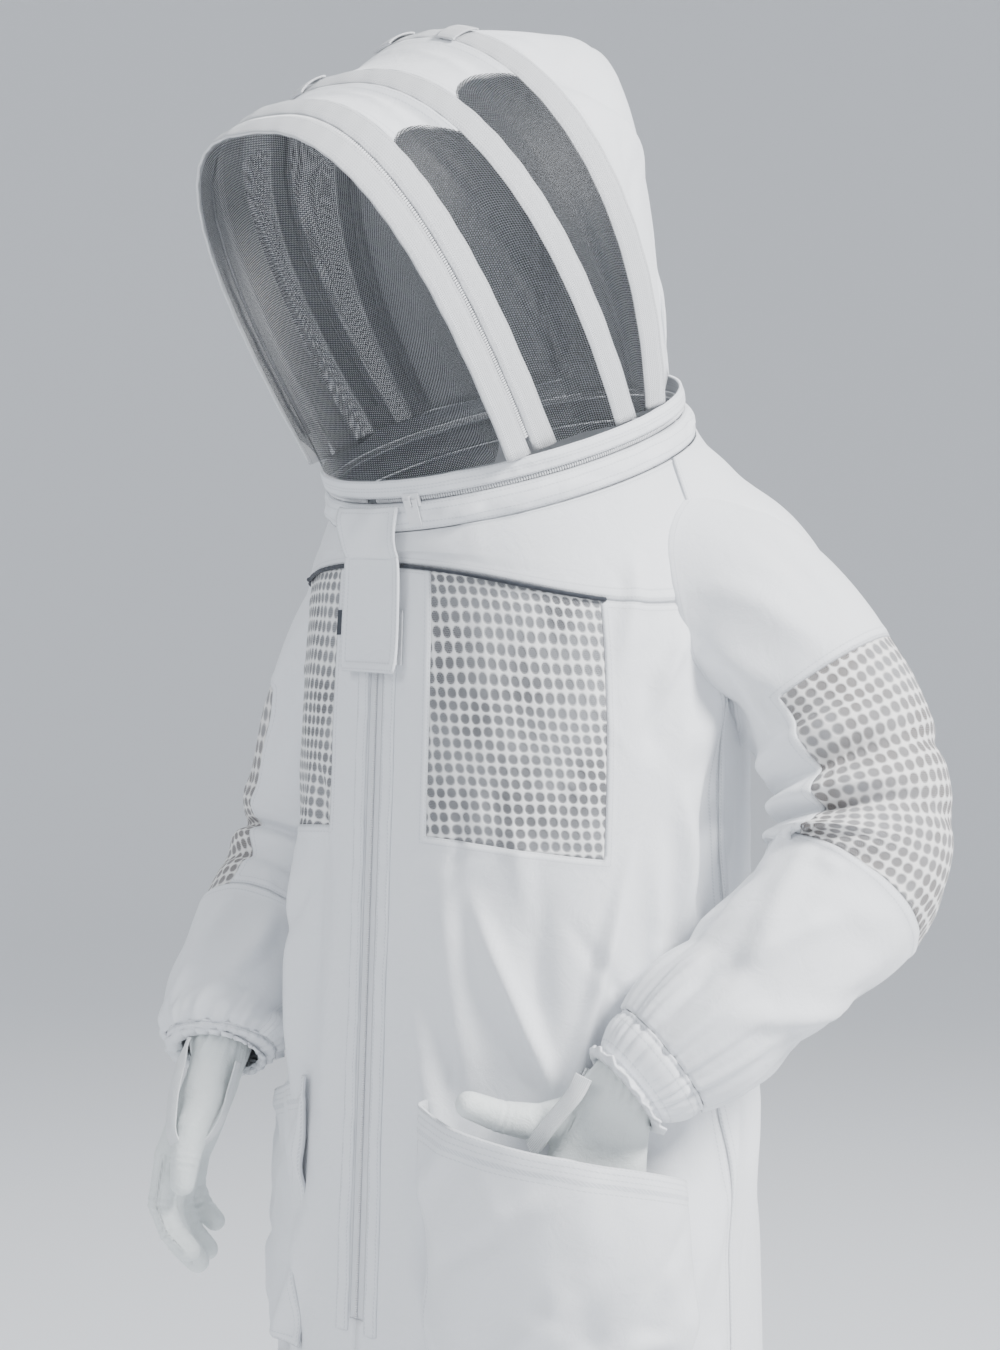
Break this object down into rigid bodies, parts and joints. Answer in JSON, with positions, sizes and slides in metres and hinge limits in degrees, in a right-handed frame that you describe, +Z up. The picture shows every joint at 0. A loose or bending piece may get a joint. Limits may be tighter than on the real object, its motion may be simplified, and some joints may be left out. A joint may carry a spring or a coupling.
{
  "type": "beekeeping suit",
  "caption": "Full-length white ventilated beekeeping suit with a zip-on hooped veil hood that opens and folds back, elastic cuffs, hip pockets and gloves.",
  "frame": {"origin": "the point between the wearer's shoulders, level with the base of the neck, where the wearer carries the suit", "axes": "+Z up, -Y the way the wearer faces, +X towards the wearer's left"},
  "size_m": [0.717, 0.4994, 1.8184],
  "materials": {
    "cotton": "matte woven white cotton",
    "spacer_mesh": "open three-layer white mesh",
    "veil_net": "fine black net that can be seen through",
    "webbing": "white woven webbing tape",
    "piping": "dark slate piping cord",
    "nylon": "white nylon",
    "spring_steel": "bare spring wire",
    "elastic": "gathered elastic cuff",
    "leather": "soft pale glove leather",
    "hook_loop": "white hook and loop tape"
  },
  "bodies": {
    "suit": {"front_left": "cotton", "front_right": "cotton", "chest_vent_left": "spacer_mesh", "chest_vent_right": "spacer_mesh", "yoke_front_left": "cotton", "yoke_front_right": "cotton", "back": "cotton", "back_vent": "spacer_mesh", "yoke_back": "cotton", "piping_front_left": "piping", "piping_front_right": "piping", "piping_back": "piping", "front_zip": "nylon", "loop_pad": "hook_loop", "label_tab": "piping", "neck_collar": "cotton", "collar_zip": "nylon", "sleeve_upper_left": "cotton", "sleeve_upper_right": "cotton", "elbow_vent_left": "spacer_mesh", "elbow_vent_right": "spacer_mesh", "sleeve_lower_left": "cotton", "sleeve_lower_right": "cotton", "wrist_cuff_left": "elastic", "wrist_cuff_right": "elastic", "glove_left": "leather", "pocket_left": "cotton", "pocket_right": "cotton", "leg_left": "cotton", "leg_right": "cotton", "ankle_cuff_left": "elastic", "ankle_cuff_right": "elastic"},
    "hood": {"hood_band": "cotton", "front_tape": "webbing", "middle_tape": "webbing", "rear_tape": "webbing", "middle_hoop": "spring_steel", "rear_hoop": "spring_steel", "top_front": "cotton", "top_rear": "cotton", "net_front_left": "veil_net", "net_front_right": "veil_net", "net_rear_left": "veil_net", "net_rear_right": "veil_net", "hood_back": "cotton", "visor_zip": "nylon"},
    "visor": {"visor_net": "veil_net", "visor_tape": "webbing", "front_hoop": "spring_steel"},
    "throat_flap": {"throat_flap": "cotton", "hook_pad": "hook_loop"},
    "front_slider": {"front_zip_slider": "nylon"},
    "front_pull": {"front_zip_pull": "nylon"},
    "collar_slider": {"collar_zip_slider": "nylon"},
    "collar_pull": {"collar_zip_pull": "nylon"},
    "visor_slider": {"visor_zip_slider": "nylon"},
    "visor_pull": {"visor_zip_pull": "nylon"},
    "glove_right": {"glove_right": "leather"}
  },
  "joints": [
    {"name": "hood_flip", "type": "hinge", "parent": "suit", "child": "hood", "pos_m": [0, 0.15186, 0.07239], "axis": [-1, 0, 0], "range_deg": [0, 100]},
    {"name": "visor_drop", "type": "hinge", "parent": "hood", "child": "visor", "pos_m": [0, -0.15593, -0.01005], "axis": [1, 0, 0], "range_deg": [0, 95]},
    {"name": "throat_flap_lift", "type": "hinge", "parent": "suit", "child": "throat_flap", "pos_m": [0, -0.1504, -0.0729], "axis": [-1, 0, 0], "range_deg": [0, 135]},
    {"name": "front_zip_slide", "type": "slide", "parent": "suit", "child": "front_slider", "axis": [0, -0.0441, -0.999], "range_m": [0, 0.57]},
    {"name": "front_pull_swing", "type": "hinge", "parent": "front_slider", "child": "front_pull", "pos_m": [0, -0.14638, -0.11376], "axis": [-1, 0, 0], "range_deg": [0, 5]},
    {"name": "collar_slider_travel", "type": "hinge", "parent": "suit", "child": "collar_slider", "pos_m": [0, 0, 0.022], "axis": [0, -0.309, 0.9511], "range_deg": [0, 290]},
    {"name": "collar_pull_swing", "type": "hinge", "parent": "collar_slider", "child": "collar_pull", "pos_m": [0.04766, -0.14825, -0.02617], "axis": [-0.9563, -0.2781, -0.0903], "range_deg": [0, 90]},
    {"name": "visor_zip_slide", "type": "slide", "parent": "hood", "child": "visor_slider", "axis": [-0.0794, -0.5403, 0.8377], "range_m": [0, 0.03]},
    {"name": "visor_pull_swing", "type": "hinge", "parent": "visor_slider", "child": "visor_pull", "pos_m": [-0.13573, -0.10083, 0.038], "axis": [0, 0.8434, 0.5373], "range_deg": [0, 110]},
    {"name": "glove_right_pull", "type": "slide", "parent": "suit", "child": "glove_right", "axis": [0.3331, -0.4984, -0.8004], "range_m": [0, 0.12]}
  ]
}
